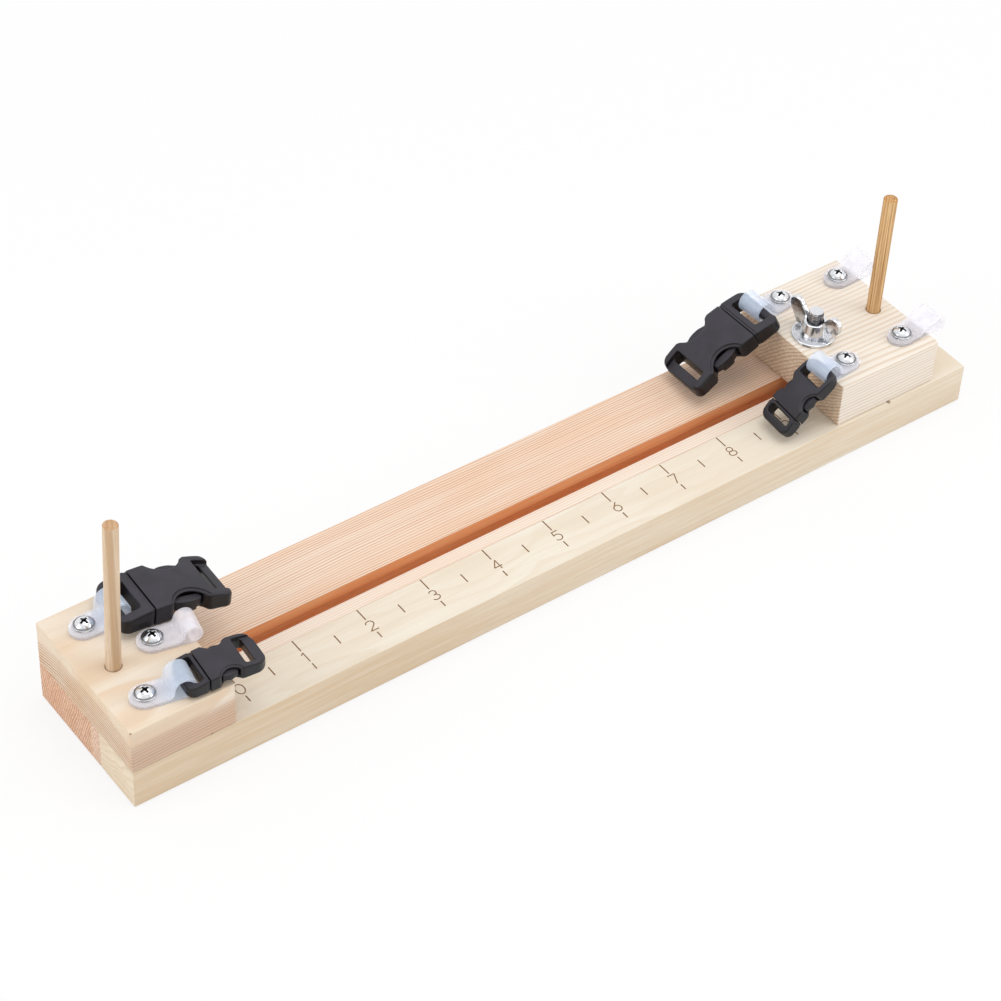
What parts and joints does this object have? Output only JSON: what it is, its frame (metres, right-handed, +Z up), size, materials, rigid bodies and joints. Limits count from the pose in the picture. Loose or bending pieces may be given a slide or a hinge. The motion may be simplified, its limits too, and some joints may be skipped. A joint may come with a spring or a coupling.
{
  "type": "bracelet jig",
  "caption": "Wooden jig with a ruled, slotted base, a fixed block, a sliding block clamped by a wing nut, nylon clips, side release buckles and dowel posts.",
  "frame": {"origin": "centre of the base's underside", "axes": "+X along the base to the sliding block, +Y to the rear, away from the ruler, +Z up"},
  "size_m": [0.35, 0.0621, 0.0941],
  "materials": {
    "front_plank": "sanded bare pine, flat sawn",
    "rear_plank": "sanded bare pine, straight reddish grain",
    "block_wood": "sanded bare pine",
    "left_dowel_wood": "bare bamboo dowel",
    "right_dowel_wood": "bare coarse grained dowel",
    "zinc": "bright zinc plating",
    "nylon": "milky translucent nylon",
    "black_plastic": "matte charcoal acetal"
  },
  "bodies": {
    "base": {"base_front_plank": "front_plank", "base_rear_plank": "rear_plank", "fixed_block": "block_wood", "fixed_block_screws": "zinc", "fixed_block_clip_screws": "zinc", "left_rear_clip": "nylon", "left_middle_clip": "nylon", "left_front_clip": "nylon"},
    "sliding_block": {"sliding_block": "block_wood", "clamp_washer": "zinc", "sliding_block_clip_screws": "zinc", "right_inner_rear_clip": "nylon", "right_inner_front_clip": "nylon", "right_outer_rear_clip": "nylon", "right_outer_front_clip": "nylon"},
    "clamp_bolt": {"clamp_bolt": "zinc"},
    "wing_nut": {"wing_nut": "zinc"},
    "left_dowel": {"left_dowel": "left_dowel_wood"},
    "right_dowel": {"right_dowel": "right_dowel_wood"},
    "left_large": {"left_large_housing": "black_plastic", "left_large_insert": "black_plastic"},
    "left_large_rear_arm": {"left_large_rear_arm": "black_plastic"},
    "left_large_front_arm": {"left_large_front_arm": "black_plastic"},
    "left_small": {"left_small_housing": "black_plastic", "left_small_insert": "black_plastic"},
    "left_small_rear_arm": {"left_small_rear_arm": "black_plastic"},
    "left_small_front_arm": {"left_small_front_arm": "black_plastic"},
    "right_large": {"right_large_housing": "black_plastic", "right_large_insert": "black_plastic"},
    "right_large_front_arm": {"right_large_front_arm": "black_plastic"},
    "right_large_rear_arm": {"right_large_rear_arm": "black_plastic"},
    "right_small": {"right_small_housing": "black_plastic", "right_small_insert": "black_plastic"},
    "right_small_rear_arm": {"right_small_rear_arm": "black_plastic"},
    "right_small_front_arm": {"right_small_front_arm": "black_plastic"}
  },
  "joints": [
    {"name": "block_slide", "type": "slide", "parent": "base", "child": "sliding_block", "axis": [1, 0, 0], "range_m": [-0.185, 0.01]},
    {"name": "wing_nut_turn", "type": "hinge", "parent": "sliding_block", "child": "wing_nut", "pos_m": [0.1249, 0, 0.0352], "axis": [0, 0, 1], "range_deg": [0, 720]},
    {"name": "bolt_drop", "type": "slide", "parent": "sliding_block", "child": "clamp_bolt", "axis": [0, 0, -1], "range_m": [0, 0.0021]},
    {"name": "left_dowel_lift", "type": "slide", "parent": "base", "child": "left_dowel", "axis": [0.0384, 0, 0.9993], "range_m": [0, 0.016]},
    {"name": "right_dowel_lift", "type": "slide", "parent": "sliding_block", "child": "right_dowel", "axis": [0, 0, 1], "range_m": [0, 0.016]},
    {"name": "left_large_swing", "type": "hinge", "parent": "base", "child": "left_large", "pos_m": [-0.1535, 0.01713, 0.03945], "axis": [-0.0896, -0.9947, 0.05], "range_deg": [0, 95]},
    {"name": "left_large_rear_press", "type": "hinge", "parent": "left_large", "child": "left_large_rear_arm", "pos_m": [-0.14281, 0.02604, 0.03981], "axis": [-0.1604, -0.0351, -0.9864], "range_deg": [0, 8], "stiffness_Nm_per_rad": 0.02},
    {"name": "left_large_front_press", "type": "hinge", "parent": "left_large", "child": "left_large_front_arm", "pos_m": [-0.1444, 0.00833, 0.0407], "axis": [0.1604, 0.0351, 0.9864], "range_deg": [0, 8], "stiffness_Nm_per_rad": 0.02},
    {"name": "left_small_swing", "type": "hinge", "parent": "base", "child": "left_small", "pos_m": [-0.15133, -0.02115, 0.0375], "axis": [-0.0869, -0.9959, 0.0262], "range_deg": [0, 95]},
    {"name": "left_small_rear_press", "type": "hinge", "parent": "left_small", "child": "left_small_rear_arm", "pos_m": [-0.1425, -0.01745, 0.03929], "axis": [-0.011, -0.0253, -0.9996], "range_deg": [0, 8], "stiffness_Nm_per_rad": 0.0015},
    {"name": "left_small_front_press", "type": "hinge", "parent": "left_small", "child": "left_small_front_arm", "pos_m": [-0.14334, -0.02701, 0.03955], "axis": [0.011, 0.0253, 0.9996], "range_deg": [0, 8], "stiffness_Nm_per_rad": 0.0015},
    {"name": "right_large_swing", "type": "hinge", "parent": "sliding_block", "child": "right_large", "pos_m": [0.1135, 0.01929, 0.0383], "axis": [0.0401, 0.9932, -0.1093], "range_deg": [0, 110]},
    {"name": "right_large_front_press", "type": "hinge", "parent": "right_large", "child": "right_large_front_arm", "pos_m": [0.10339, 0.00832, 0.03739], "axis": [0.4414, -0.1157, -0.8898], "range_deg": [0, 8], "stiffness_Nm_per_rad": 0.02},
    {"name": "right_large_rear_press", "type": "hinge", "parent": "right_large", "child": "right_large_rear_arm", "pos_m": [0.10411, 0.026, 0.03544], "axis": [-0.4414, 0.1157, 0.8898], "range_deg": [0, 8], "stiffness_Nm_per_rad": 0.02},
    {"name": "right_small_swing", "type": "hinge", "parent": "sliding_block", "child": "right_small", "pos_m": [0.11242, -0.01929, 0.0377], "axis": [0.0919, 0.9952, -0.0324], "range_deg": [0, 125]},
    {"name": "right_small_rear_press", "type": "hinge", "parent": "right_small", "child": "right_small_rear_arm", "pos_m": [0.09942, -0.01389, 0.02797], "axis": [0.6644, -0.0855, -0.7424], "range_deg": [0, 8], "stiffness_Nm_per_rad": 0.0015},
    {"name": "right_small_front_press", "type": "hinge", "parent": "right_small", "child": "right_small_front_arm", "pos_m": [0.09854, -0.02344, 0.02828], "axis": [-0.6644, 0.0855, 0.7424], "range_deg": [0, 8], "stiffness_Nm_per_rad": 0.0015}
  ],
  "couplings": [
    {"joint": "bolt_drop", "follows": "wing_nut_turn", "m_per_rad": 0.00015915},
    {"joint": "left_large_front_press", "follows": "left_large_rear_press", "ratio": 1},
    {"joint": "left_small_front_press", "follows": "left_small_rear_press", "ratio": 1},
    {"joint": "right_large_front_press", "follows": "right_large_rear_press", "ratio": 1},
    {"joint": "right_small_front_press", "follows": "right_small_rear_press", "ratio": 1}
  ]
}
